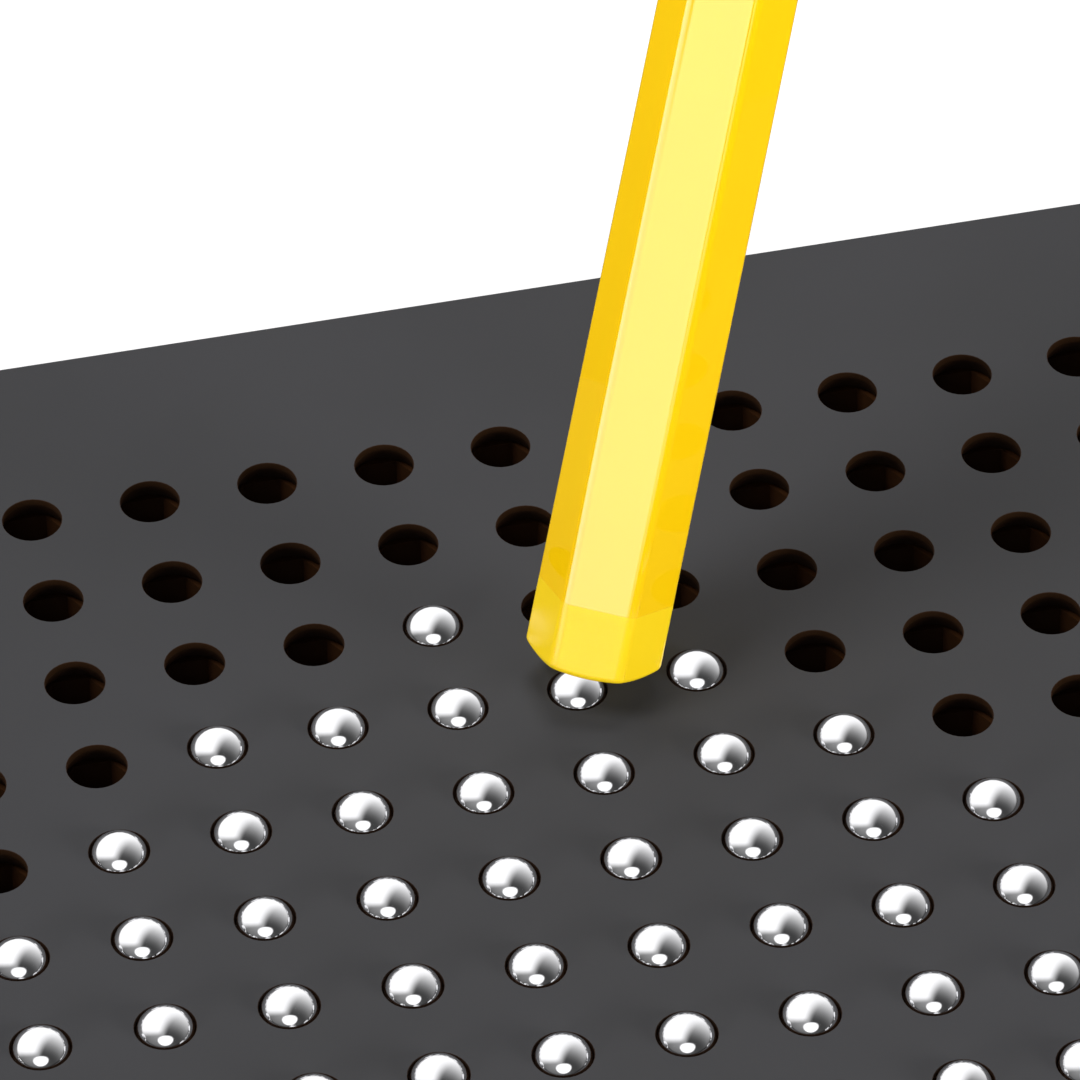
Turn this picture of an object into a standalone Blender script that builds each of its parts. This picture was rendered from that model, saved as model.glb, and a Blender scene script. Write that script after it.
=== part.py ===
"""Magnetic drawing board: a holed plate with steel balls, and a magnetic stylus.

Blender script, metres, +Z up. The origin is under the middle of the board, on the surface it
lies on. +X runs along the rows of holes and +Y towards the far edge. Each ball sits in a well
under its hole. The stylus pulls it up into the hole's narrow throat, where it stays.
"""
from math import cos, pi, radians, sin, sqrt

import bmesh
import bpy
from mathutils import Matrix, Vector

MM = 0.001

# Grid of holes
PITCH = 10.0 * MM
COLUMNS = 14
ROWS = 10
EDGE_MARGIN = 19.3 * MM
CORNER_RADIUS = 9.0 * MM
CORNER_STEPS = 4

# Gap between pieces that rest on or locate in each other
FIT_GAP = 0.3 * MM
# How far a cutter runs past the face it opens
OVERRUN = 1.0 * MM

# Balls
BALL_DIAMETER = 5.0 * MM
BALL_TRAVEL = 5.0 * MM
BALL_PLAY = 0.05 * MM
BALL_LEVELS = 2

# Face plate: the throat is narrower than a ball, by the grip
FACE_THICKNESS = 2.0 * MM
FACE_EDGE_ROUND = 0.6 * MM
THROAT_GRIP = 0.1 * MM
THROAT_DEPTH = 0.49 * MM
SINK_WIDTH = 0.08 * MM
FLARE_WIDTH = 0.55 * MM
HOLE_SIDES = 8
LIP_THICKNESS = 1.2 * MM
LIP_HEIGHT = 1.6 * MM
POST_DIAMETER = 6.6 * MM

# Cell block
WELL_PLAY = 0.2 * MM
WELL_SIDES = 6
BLOCK_BORDER = 2.4 * MM
BLOCK_CORNER_RADIUS = 3.0 * MM

# Magnet sheet
SHEET_THICKNESS = 0.8 * MM

# Back cover
COVER_WALL = 2.0 * MM
COVER_FLOOR = 2.0 * MM
COVER_EDGE_ROUND = 1.2 * MM
RIB_HEIGHT = 2.4 * MM
RIB_THICKNESS = 1.2 * MM

# Feet
FOOT_DIAMETER = 11.0 * MM
FOOT_HEIGHT = 1.8 * MM
FOOT_RECESS = 0.6 * MM
FOOT_INSET = 22.0 * MM
FOOT_ROUND = 0.4 * MM

# Screws
SCREW_DIAMETER = 2.6 * MM
SCREW_PLAY = 0.15 * MM
SCREW_BITE = 4.2 * MM
SCREW_POINT = 1.0 * MM
SCREW_POINT_SHARE = 1 / 3
HEAD_DIAMETER = 5.0 * MM
HEAD_HEIGHT = 1.1 * MM
CROSS_WIDTH = 0.7 * MM
CROSS_LENGTH = 2.6 * MM
CROSS_DEPTH = 0.6 * MM

# Stylus: it narrows by its taper from the tip's end to the cap's
STYLUS_ACROSS_CORNERS = 11.65 * MM
STYLUS_TAPER = 0.65 * MM
STYLUS_LENGTH = 112.0 * MM
STYLUS_CORNER_ROUND = 0.9 * MM
STYLUS_WALL = 1.4 * MM
TIP_LENGTH = 6.3 * MM
TIP_EDGE_ROUND = 1.0 * MM
TIP_FLOOR = 1.0 * MM
SPIGOT_LENGTH = 5.0 * MM
SPIGOT_WALL = 0.8 * MM
MAGNET_LENGTH = 6.0 * MM
CAP_LENGTH = 4.0 * MM
CAP_EDGE_ROUND = 1.6 * MM
STYLUS_CORNER_STEPS = 2

# Sides of round pieces and holes, and steps of a rounded edge
ROUND_SIDES = 16
SCREW_SIDES = 12
ROUND_STEPS = 2

# The stylus stands over the hole at this column and row, leaning to the right and away
STYLUS_COLUMN = 6
STYLUS_ROW = 3
STYLUS_OFFSET_RIGHT = 1.44 * MM
STYLUS_OFFSET_AWAY = 0.89 * MM
STYLUS_CLEARANCE = 0.0 * MM
STYLUS_LEAN_DEG = 23.5
STYLUS_LEAN_AZIMUTH_DEG = 48.5
STYLUS_ROLL_DEG = 19.4

# Raised balls: row, counted from the far edge, then first and last raised column
RAISED_RUNS = (
    (2, 5, 5),
    (3, 3, 7),
    (4, 2, 8),
    (5, 1, 9),
    (6, 1, 9),
    (7, 3, 9),
    (8, 8, 9),
)

# Plan of the board
HALF_WIDTH = (COLUMNS - 1) * PITCH / 2 + EDGE_MARGIN
HALF_DEPTH = (ROWS - 1) * PITCH / 2 + EDGE_MARGIN

# Balls, throats and wells
BALL_RADIUS = BALL_DIAMETER / 2
THROAT_RADIUS = BALL_RADIUS - THROAT_GRIP / 2
WELL_RADIUS = BALL_RADIUS + WELL_PLAY

# Heights, from the surface under the feet upwards
FLOOR_BOTTOM_Z = FOOT_HEIGHT + FIT_GAP - FOOT_RECESS
FLOOR_TOP_Z = FLOOR_BOTTOM_Z + COVER_FLOOR
SHEET_BOTTOM_Z = FLOOR_TOP_Z + FIT_GAP
SHEET_TOP_Z = SHEET_BOTTOM_Z + SHEET_THICKNESS
BALL_RAISED_Z = SHEET_TOP_Z + BALL_PLAY + BALL_RADIUS + BALL_TRAVEL
BALL_SEAT_DEPTH = THROAT_DEPTH + BALL_PLAY + sqrt(BALL_RADIUS ** 2 - THROAT_RADIUS ** 2)
SURFACE_Z = BALL_RAISED_Z + BALL_SEAT_DEPTH
FACE_BOTTOM_Z = SURFACE_Z - FACE_THICKNESS
BLOCK_BOTTOM_Z = SHEET_TOP_Z + FIT_GAP
BLOCK_TOP_Z = FACE_BOTTOM_Z - FIT_GAP

# Plan of the inside: cell block, the rib round it, the cover's wall and the plate's lip
BLOCK_HALF_X = (COLUMNS - 1) * PITCH / 2 + WELL_RADIUS + BLOCK_BORDER
BLOCK_HALF_Y = (ROWS - 1) * PITCH / 2 + WELL_RADIUS + BLOCK_BORDER
RIB_INSIDE = FIT_GAP
RIB_OUTSIDE = FIT_GAP + RIB_THICKNESS
LIP_OUTSIDE = COVER_WALL + FIT_GAP
LIP_INSIDE = LIP_OUTSIDE + LIP_THICKNESS

# Screw posts stand midway between the rib and the lip
POST_X = (BLOCK_HALF_X + RIB_OUTSIDE + HALF_WIDTH - LIP_INSIDE) / 2
POST_Y = (BLOCK_HALF_Y + RIB_OUTSIDE + HALF_DEPTH - LIP_INSIDE) / 2
POST_BOTTOM_Z = FLOOR_TOP_Z + FIT_GAP
SCREW_PLACES = [(x, y) for y in (-POST_Y, POST_Y) for x in (-POST_X, 0.0, POST_X)]
FOOT_PLACES = [
    (x, y)
    for y in (-HALF_DEPTH + FOOT_INSET, HALF_DEPTH - FOOT_INSET)
    for x in (-HALF_WIDTH + FOOT_INSET, HALF_WIDTH - FOOT_INSET)
]


def hole_place(column, row):
    """Return x and y of a hole: columns count from the left, rows from the far edge."""
    x = (column - (COLUMNS - 1) / 2) * PITCH
    y = ((ROWS - 1) / 2 - row) * PITCH
    return x, y


def hole_places():
    """Return the places of all holes."""
    return [hole_place(column, row) for row in range(ROWS) for column in range(COLUMNS)]


def make_material(name, colour, roughness, metallic=0.0):
    """Make a Principled material for one object."""
    material = bpy.data.materials.new(name)
    material.use_nodes = True
    shader = material.node_tree.nodes["Principled BSDF"]
    shader.inputs["Base Color"].default_value = (*colour, 1.0)
    shader.inputs["Roughness"].default_value = roughness
    shader.inputs["Metallic"].default_value = metallic
    return material


def make_object(name, bm, material=None):
    """Turn a bmesh into a named object, with its faces pointing out."""
    bmesh.ops.recalc_face_normals(bm, faces=bm.faces)
    mesh = bpy.data.meshes.new(name)
    bm.to_mesh(mesh)
    bm.free()
    if material:
        mesh.materials.append(material)
    obj = bpy.data.objects.new(name, mesh)
    bpy.context.scene.collection.objects.link(obj)
    return obj


def shape_with(obj, bm, operation="DIFFERENCE"):
    """Cut an object with a closed shape, or join the shape to it, and keep its frame."""
    tool = make_object("shape", bm)
    tool.matrix_world = obj.matrix_world
    modifier = obj.modifiers.new("shape", "BOOLEAN")
    modifier.operation = operation
    modifier.object = tool
    depsgraph = bpy.context.evaluated_depsgraph_get()
    shaped = bpy.data.meshes.new_from_object(obj.evaluated_get(depsgraph))
    obj.modifiers.clear()
    obj.data = shaped
    bpy.data.objects.remove(tool)


def shade_round(obj, sharp_deg=40):
    """Shade an object smooth, with its steeper edges left sharp."""
    obj.data.shade_smooth()
    obj.data.set_sharp_from_angle(angle=radians(sharp_deg))


def rounded_outline(half_x, half_y, radius, steps=CORNER_STEPS):
    """Return the points of a rectangle with round corners, anticlockwise."""
    points = []
    for quarter, (side_x, side_y) in enumerate(((1, 1), (-1, 1), (-1, -1), (1, -1))):
        centre = Vector((side_x * (half_x - radius), side_y * (half_y - radius)))
        for step in range(steps + 1):
            turn = (quarter + step / steps) * pi / 2
            points.append(centre + radius * Vector((cos(turn), sin(turn))))
    return points


def polygon_outline(sides, inner_radius, turn=0.0, centre=(0.0, 0.0)):
    """Return the corners of a regular polygon whose flats lie at the inner radius."""
    corner = inner_radius / cos(pi / sides)
    return [
        Vector((
            centre[0] + corner * cos(turn + 2 * pi * side / sides),
            centre[1] + corner * sin(turn + 2 * pi * side / sides),
        ))
        for side in range(sides)
    ]


def add_stack(bm, layers):
    """Add a closed solid that runs through outlines of equal counts, as (outline, z) pairs."""
    rings = [[bm.verts.new((p.x, p.y, z)) for p in outline] for outline, z in layers]
    count = len(rings[0])
    bm.faces.new(list(reversed(rings[0])))
    bm.faces.new(rings[-1])
    for low, high in zip(rings, rings[1:]):
        for i in range(count):
            j = (i + 1) % count
            bm.faces.new((low[i], low[j], high[j], high[i]))


def add_turned(bm, profile, sides, centre=(0.0, 0.0), turn=0.0):
    """Add a round solid from (radius, z) pairs, bottom to top."""
    add_stack(bm, [(polygon_outline(sides, r, turn, centre), z) for r, z in profile])


def rounded_slab(half_x, half_y, radius, bottom, top, edge_round, round_top):
    """Return the layers of a slab whose top or bottom rim is rounded."""
    layers = []
    for step in range(ROUND_STEPS + 1):
        turn = step / ROUND_STEPS * pi / 2
        inset = edge_round * (1 - sin(turn))
        height = edge_round * (1 - cos(turn))
        outline = rounded_outline(half_x - inset, half_y - inset, radius - inset)
        layers.append((outline, top - height if round_top else bottom + height))
    flat = (rounded_outline(half_x, half_y, radius), bottom if round_top else top)
    layers.append(flat)
    return list(reversed(layers)) if round_top else layers


def board_outline(inset):
    """Return the board's outline, drawn in by an inset."""
    return rounded_outline(HALF_WIDTH - inset, HALF_DEPTH - inset, CORNER_RADIUS - inset)


def block_outline(outset=0.0):
    """Return the cell block's outline, let out by an outset."""
    radius = BLOCK_CORNER_RADIUS + outset
    return rounded_outline(BLOCK_HALF_X + outset, BLOCK_HALF_Y + outset, radius)


def prism(outline, bottom, top):
    """Return a bmesh of one upright prism."""
    bm = bmesh.new()
    add_stack(bm, [(outline, bottom), (outline, top)])
    return bm


def turned_row(profile, sides, places, turn=0.0):
    """Return a bmesh with the same round solid at each place."""
    bm = bmesh.new()
    for place in places:
        add_turned(bm, profile, sides, place, turn)
    return bm


def build_face_plate():
    """Build the plate with its holes, locating lip and screw posts."""
    bm = bmesh.new()
    add_stack(bm, rounded_slab(
        HALF_WIDTH, HALF_DEPTH, CORNER_RADIUS, FACE_BOTTOM_Z, SURFACE_Z, FACE_EDGE_ROUND, True))
    black = make_material("face plate, black moulding", (0.062, 0.062, 0.065), 0.5)
    plate = make_object("face_plate", bm, black)

    # What hangs below the plate is joined to it from half its thickness down
    root = FACE_BOTTOM_Z + FACE_THICKNESS / 2
    lip_bottom = FACE_BOTTOM_Z - LIP_HEIGHT
    shape_with(plate, prism(board_outline(LIP_OUTSIDE), lip_bottom, root), "UNION")
    shape_with(plate, prism(board_outline(LIP_INSIDE), lip_bottom - OVERRUN, FACE_BOTTOM_Z))
    post = [(POST_DIAMETER / 2, POST_BOTTOM_Z), (POST_DIAMETER / 2, root)]
    shape_with(plate, turned_row(post, SCREW_SIDES, SCREW_PLACES), "UNION")
    pilot_radius = SCREW_DIAMETER / 2 + SCREW_PLAY
    pilot_top = POST_BOTTOM_Z + SCREW_BITE + SCREW_POINT + FIT_GAP
    pilot = [(pilot_radius, POST_BOTTOM_Z - OVERRUN), (pilot_radius, pilot_top)]
    shape_with(plate, turned_row(pilot, SCREW_SIDES, SCREW_PLACES))

    # Each hole is waisted: a shallow countersink, a throat that stops the ball, and a flare
    flare_height = FACE_THICKNESS - THROAT_DEPTH
    waist = [
        (THROAT_RADIUS + FLARE_WIDTH * (1 + OVERRUN / flare_height), FACE_BOTTOM_Z - OVERRUN),
        (THROAT_RADIUS, SURFACE_Z - THROAT_DEPTH),
        (THROAT_RADIUS + 2 * SINK_WIDTH, SURFACE_Z + THROAT_DEPTH),
    ]
    shape_with(plate, turned_row(waist, HOLE_SIDES, hole_places(), pi / HOLE_SIDES))


def build_cell_block():
    """Build the block with one six-sided well under each hole."""
    black = make_material("cell block, black moulding", (0.012, 0.011, 0.010), 0.7)
    block = make_object("cell_block", prism(block_outline(), BLOCK_BOTTOM_Z, BLOCK_TOP_Z), black)
    well = [(WELL_RADIUS, BLOCK_BOTTOM_Z - OVERRUN), (WELL_RADIUS, BLOCK_TOP_Z + OVERRUN)]
    shape_with(block, turned_row(well, WELL_SIDES, hole_places()))


def build_magnet_sheet():
    """Build the magnetic sheet under the wells, as large as the cell block."""
    brown = make_material("magnet sheet, bonded ferrite", (0.030, 0.024, 0.020), 0.8)
    make_object("magnet_sheet", prism(block_outline(), SHEET_BOTTOM_Z, SHEET_TOP_Z), brown)


def build_back_cover():
    """Build the tray: floor, walls, a rib round the cell block, and its round cuts."""
    bm = bmesh.new()
    wall_top = FACE_BOTTOM_Z - FIT_GAP
    add_stack(bm, rounded_slab(
        HALF_WIDTH, HALF_DEPTH, CORNER_RADIUS, FLOOR_BOTTOM_Z, wall_top, COVER_EDGE_ROUND, False))
    dark = make_material("back cover, moulding", (0.040, 0.040, 0.042), 0.55)
    cover = make_object("back_cover", bm, dark)
    shape_with(cover, prism(board_outline(COVER_WALL), FLOOR_TOP_Z, wall_top + OVERRUN))

    # The rib keeps the sheet and the block in the middle
    rib_top = FLOOR_TOP_Z + RIB_HEIGHT
    rib_root = FLOOR_TOP_Z - COVER_FLOOR / 2
    shape_with(cover, prism(block_outline(RIB_OUTSIDE), rib_root, rib_top), "UNION")
    shape_with(cover, prism(block_outline(RIB_INSIDE), FLOOR_TOP_Z, rib_top + OVERRUN))

    shank_radius = SCREW_DIAMETER / 2 + SCREW_PLAY
    head_radius = HEAD_DIAMETER / 2 + SCREW_PLAY
    head_top = FLOOR_BOTTOM_Z + HEAD_HEIGHT + SCREW_PLAY
    screw_hole = [
        (head_radius, FLOOR_BOTTOM_Z - OVERRUN),
        (head_radius, head_top),
        (shank_radius, head_top),
        (shank_radius, FLOOR_TOP_Z + OVERRUN),
    ]
    shape_with(cover, turned_row(screw_hole, SCREW_SIDES, SCREW_PLACES))
    foot_radius = FOOT_DIAMETER / 2 + FIT_GAP
    recess_top = FLOOR_BOTTOM_Z + FOOT_RECESS
    recess = [(foot_radius, FLOOR_BOTTOM_Z - OVERRUN), (foot_radius, recess_top)]
    shape_with(cover, turned_row(recess, ROUND_SIDES, FOOT_PLACES))


def build_feet():
    """Build the rubber feet, in their recesses."""
    radius = FOOT_DIAMETER / 2
    profile = [(radius - FOOT_ROUND, 0.0), (radius, FOOT_ROUND), (radius, FOOT_HEIGHT)]
    for i, (x, y) in enumerate(FOOT_PLACES, start=1):
        rubber = make_material(f"foot {i}, rubber", (0.025, 0.025, 0.025), 0.85)
        foot = make_object(f"rubber_foot_{i}", turned_row(profile, ROUND_SIDES, [(0, 0)]), rubber)
        foot.location = (x, y, 0.0)
        shade_round(foot)


def cross_outline():
    """Return the outline of the cross recess in a screw's head."""
    reach = CROSS_LENGTH / 2
    half = CROSS_WIDTH / 2
    arm = [Vector((half, half)), Vector((half, reach)), Vector((-half, reach))]
    return [Matrix.Rotation(quarter * pi / 2, 2) @ point for quarter in range(4) for point in arm]


def build_screws():
    """Build the cross-head screws that go up through the cover into the posts."""
    radius = SCREW_DIAMETER / 2 * cos(pi / SCREW_SIDES)
    head_radius = HEAD_DIAMETER / 2
    bottom = FLOOR_BOTTOM_Z + SCREW_PLAY
    head_top = HEAD_HEIGHT - SCREW_PLAY
    shank_top = POST_BOTTOM_Z + SCREW_BITE - bottom
    profile = [
        (head_radius, 0.0),
        (head_radius, head_top),
        (radius, head_top),
        (radius, shank_top),
        (radius * SCREW_POINT_SHARE, shank_top + SCREW_POINT),
    ]
    for i, (x, y) in enumerate(SCREW_PLACES, start=1):
        steel = make_material(f"screw {i}, zinc plated", (0.55, 0.55, 0.56), 0.35, 1.0)
        screw = make_object(f"cover_screw_{i}", turned_row(profile, SCREW_SIDES, [(0, 0)]), steel)
        shape_with(screw, prism(cross_outline(), -OVERRUN, CROSS_DEPTH))
        screw.location = (x, y, bottom)
        shade_round(screw)


def build_raised_balls():
    """Build the raised balls, each with its origin on its own hole's axis."""
    bm = bmesh.new()
    bmesh.ops.create_icosphere(bm, subdivisions=BALL_LEVELS, radius=BALL_RADIUS)
    for face in bm.faces:
        face.smooth = True
    mesh = bpy.data.meshes.new("steel ball")
    bm.to_mesh(mesh)
    bm.free()
    mesh.materials.append(make_material("ball, polished steel", (0.80, 0.80, 0.81), 0.08, 1.0))
    for row, first, last in RAISED_RUNS:
        for column in range(first, last + 1):
            ball = bpy.data.objects.new(f"steel_ball_row{row}_col{column}", mesh)
            bpy.context.scene.collection.objects.link(ball)
            x, y = hole_place(column, row)
            ball.location = (x, y, BALL_RAISED_Z)


def hexagon(across_corners, corner_round, steps):
    """Return a six-sided outline with rounded corners and flats square to +X."""
    flat_radius = across_corners / 2 * cos(pi / 6)
    centre_radius = (flat_radius - corner_round) / cos(pi / 6)
    points = []
    for corner in range(6):
        towards = pi / 6 + corner * pi / 3
        centre = centre_radius * Vector((cos(towards), sin(towards)))
        for step in range(steps + 1):
            turn = towards + (step / steps - 1 / 2) * pi / 3
            points.append(centre + corner_round * Vector((cos(turn), sin(turn))))
    return points


def build_stylus():
    """Build the stylus under an empty at its end face, leaning as in the hand."""
    x, y = hole_place(STYLUS_COLUMN, STYLUS_ROW)
    lean = radians(STYLUS_LEAN_DEG)
    flat_radius = STYLUS_ACROSS_CORNERS / 2 * cos(pi / 6)
    height = SURFACE_Z + STYLUS_CLEARANCE + STYLUS_ACROSS_CORNERS / 2 * sin(lean)
    holder = bpy.data.objects.new("stylus_frame", None)
    bpy.context.scene.collection.objects.link(holder)
    holder.matrix_world = (
        Matrix.Translation((x + STYLUS_OFFSET_RIGHT, y + STYLUS_OFFSET_AWAY, height))
        @ Matrix.Rotation(radians(STYLUS_LEAN_AZIMUTH_DEG), 4, "Z")
        @ Matrix.Rotation(lean, 4, "Y")
        @ Matrix.Rotation(radians(STYLUS_ROLL_DEG), 4, "Z")
    )
    outline = hexagon(STYLUS_ACROSS_CORNERS, STYLUS_CORNER_ROUND, STYLUS_CORNER_STEPS)
    bore_radius = flat_radius - STYLUS_WALL
    spigot_radius = bore_radius - FIT_GAP
    pocket_radius = spigot_radius - SPIGOT_WALL
    magnet_radius = pocket_radius - FIT_GAP
    barrel_bottom = TIP_LENGTH + FIT_GAP
    barrel_top = STYLUS_LENGTH - CAP_LENGTH - FIT_GAP

    def section(height, inset=0.0):
        """Return the outline at a height, drawn in by an inset at its flats."""
        taper = 1 - STYLUS_TAPER / STYLUS_ACROSS_CORNERS * height / STYLUS_LENGTH
        return [point * (taper - inset / flat_radius) for point in outline]

    def rod(radius, bottom, top):
        """Return a bmesh of a round rod on the stylus' axis."""
        return turned_row([(radius, bottom), (radius, top)], ROUND_SIDES, [(0, 0)])

    def rim(edge_round, end, inward):
        """Return layers that round an end of the hexagon, from its end face inwards."""
        layers = []
        for step in range(ROUND_STEPS + 1):
            turn = step / ROUND_STEPS * pi / 2
            height = end + inward * edge_round * (1 - cos(turn))
            layers.append((section(height, edge_round * (1 - sin(turn))), height))
        return layers

    # Tip: six-sided, rounded below, with a round spigot that holds the magnet
    bm = bmesh.new()
    add_stack(bm, rim(TIP_EDGE_ROUND, 0.0, 1) + [(section(TIP_LENGTH), TIP_LENGTH)])
    yellow = make_material("stylus tip, yellow moulding", (0.98, 0.75, 0.04), 0.3)
    tip = make_object("stylus_tip", bm, yellow)
    spigot_top = TIP_LENGTH + SPIGOT_LENGTH
    shape_with(tip, rod(spigot_radius, TIP_LENGTH / 2, spigot_top), "UNION")
    shape_with(tip, rod(pocket_radius, TIP_FLOOR, spigot_top + OVERRUN))

    # Magnet: a plain rod in the tip's pocket
    nickel = make_material("stylus magnet, nickel plated", (0.62, 0.60, 0.56), 0.25, 1.0)
    magnet_bottom = TIP_FLOOR + FIT_GAP
    magnet_top = magnet_bottom + MAGNET_LENGTH
    magnet = make_object("stylus_magnet", rod(magnet_radius, magnet_bottom, magnet_top), nickel)

    # Barrel: six-sided tube
    yellow = make_material("stylus barrel, yellow moulding", (0.98, 0.70, 0.02), 0.3)
    bm = bmesh.new()
    add_stack(bm, [(section(height), height) for height in (barrel_bottom, barrel_top)])
    barrel = make_object("stylus_barrel", bm, yellow)
    shape_with(barrel, rod(bore_radius, barrel_bottom - OVERRUN, barrel_top + OVERRUN))

    # End cap: a plug with a rounded six-sided head
    bm = bmesh.new()
    cap_bottom = STYLUS_LENGTH - CAP_LENGTH
    add_stack(bm, [(section(cap_bottom), cap_bottom)] + rim(CAP_EDGE_ROUND, STYLUS_LENGTH, -1)[::-1])
    yellow = make_material("stylus end cap, yellow moulding", (0.98, 0.70, 0.02), 0.3)
    cap = make_object("stylus_end_cap", bm, yellow)
    plug_top = cap_bottom + CAP_LENGTH / 2
    shape_with(cap, rod(spigot_radius, barrel_top - SPIGOT_LENGTH, plug_top), "UNION")

    for piece in (tip, magnet, barrel, cap):
        shade_round(piece)
        piece.parent = holder


def main():
    """Clear the scene and build every piece."""
    for obj in list(bpy.data.objects):
        bpy.data.objects.remove(obj)
    build_face_plate()
    build_cell_block()
    build_magnet_sheet()
    build_back_cover()
    build_feet()
    build_screws()
    build_raised_balls()
    build_stylus()


main()
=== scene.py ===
"""Magnetic drawing board with its stylus, dressed for rendering.

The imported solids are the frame, in metres: +X runs along the rows of holes, +Y to the far edge,
+Z out of the drawing face. Each class below models one sub-assembly around its solids and gives
it its finishes. Sizes repeat those of the solids, so that every piece sits where they do.
"""
from __future__ import annotations

import logging
import math
from contextlib import contextmanager
from dataclasses import dataclass, field
from enum import Enum
from typing import Any, Callable, Iterator, Sequence

import bmesh
import bpy
from mathutils import Matrix, Vector

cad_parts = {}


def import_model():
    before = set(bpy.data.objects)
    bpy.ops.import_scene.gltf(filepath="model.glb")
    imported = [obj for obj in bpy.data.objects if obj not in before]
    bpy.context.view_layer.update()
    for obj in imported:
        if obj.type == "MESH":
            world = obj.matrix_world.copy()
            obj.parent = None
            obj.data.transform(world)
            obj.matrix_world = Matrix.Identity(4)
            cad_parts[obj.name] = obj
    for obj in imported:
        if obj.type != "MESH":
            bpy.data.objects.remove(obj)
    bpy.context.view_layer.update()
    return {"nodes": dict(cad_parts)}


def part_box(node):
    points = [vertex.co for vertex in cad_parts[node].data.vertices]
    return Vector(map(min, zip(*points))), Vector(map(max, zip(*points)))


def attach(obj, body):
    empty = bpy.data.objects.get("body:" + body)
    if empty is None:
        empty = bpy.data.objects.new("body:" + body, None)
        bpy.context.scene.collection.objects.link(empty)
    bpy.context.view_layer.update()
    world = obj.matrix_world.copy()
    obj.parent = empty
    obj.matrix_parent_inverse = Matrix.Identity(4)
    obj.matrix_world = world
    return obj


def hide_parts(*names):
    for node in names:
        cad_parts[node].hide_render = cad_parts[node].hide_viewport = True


LOG = logging.getLogger("drawing_board")
MM = 0.001

Colour = tuple[float, float, float]
Ring = tuple[float, float]
Place = tuple[float, float]
Span = tuple[float, float]
Piece = bpy.types.Object


class Body(str, Enum):
    """Bodies of the frame that new pieces ride on, apart from the balls."""

    BOARD = "board"
    STYLUS = "stylus"

    def __str__(self) -> str:
        """Return the body's name in the frame."""
        return self.value


class Slot(str, Enum):
    """Names of the record's material slots, passed along with new pieces."""

    FACE = "face_black"
    COVER = "cover_black"
    RUBBER = "foot_rubber"
    ZINC = "zinc"
    STEEL = "ball_steel"
    BARREL = "stylus_yellow"
    TIP = "tip_yellow"


class Shaping(str, Enum):
    """Ways in which a tool shape changes a piece."""

    CUT = "DIFFERENCE"
    JOIN = "UNION"
    KEEP_COMMON = "INTERSECT"


class Part(str, Enum):
    """Mesh parts that a step selects in edit mode."""

    EDGE = "EDGE"
    FACE = "FACE"


class Sock:
    """A node's output in a shader expression. Its operators add Math nodes."""

    def __init__(self, graph: Graph, socket: bpy.types.NodeSocket) -> None:
        """Hold the socket and the graph that it is in."""
        self.graph = graph
        self.socket = socket

    def __add__(self, other: Value) -> Sock:
        """Return self + other."""
        return self.graph.maths("ADD", self, other)

    __radd__ = __add__

    def __sub__(self, other: Value) -> Sock:
        """Return self - other."""
        return self.graph.maths("SUBTRACT", self, other)

    def __rsub__(self, other: Value) -> Sock:
        """Return other - self."""
        return self.graph.maths("SUBTRACT", other, self)

    def __mul__(self, other: Value) -> Sock:
        """Return self * other."""
        return self.graph.maths("MULTIPLY", self, other)

    __rmul__ = __mul__

    def __truediv__(self, other: Value) -> Sock:
        """Return self / other."""
        return self.graph.maths("DIVIDE", self, other)

    def least(self, other: Value) -> Sock:
        """Return the smaller of self and other."""
        return self.graph.maths("MINIMUM", self, other)

    def most(self, other: Value) -> Sock:
        """Return the larger of self and other."""
        return self.graph.maths("MAXIMUM", self, other)

    def blend(self, share: Value, other: Value) -> Sock:
        """Return self with a share of it replaced by other."""
        return share * (other - self) + self

    def rise(self, start: float, end: float) -> Sock:
        """Return a smooth step that is 0 at the start value and 1 at the end value."""
        inputs = {"Value": self, "From Min": start, "From Max": end}
        return self.graph.node("ShaderNodeMapRange", {"interpolation_type": "SMOOTHSTEP"}, inputs)


Value = float | Sock
Inputs = dict[str | int, Any]


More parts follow.
